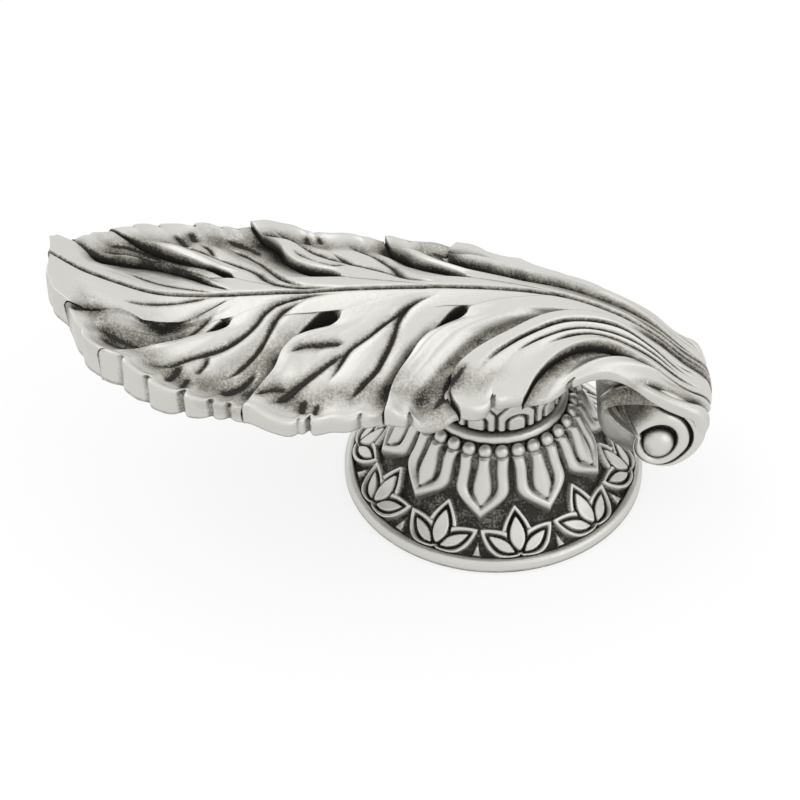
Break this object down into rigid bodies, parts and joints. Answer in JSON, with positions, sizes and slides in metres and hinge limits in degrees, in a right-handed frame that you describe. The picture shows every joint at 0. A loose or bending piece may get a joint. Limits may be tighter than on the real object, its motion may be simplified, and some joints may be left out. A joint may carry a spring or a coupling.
{
  "type": "cabinet knob with backplate",
  "caption": "Leaf-shaped cabinet knob in antique silver finish, scrolled at one end, on a stem and a round backplate with petals.",
  "frame": {"origin": "centre of the backplate's flat back face, on the axis of the mounting screw", "axes": "+Z away from the drawer front, +X towards the scroll, -X towards the leaf's tip, leaf alike on both sides of Y = 0"},
  "size_m": [0.0777, 0.036, 0.0346],
  "materials": {
    "antique_silver": "antique silver plate, satin on the raised ornament, with a dark patina in the recesses",
    "brass": "plain turned brass"
  },
  "bodies": {
    "root": {"leaf_knob": "antique_silver", "backplate": "antique_silver", "threaded_insert": "brass"}
  },
  "joints": []
}
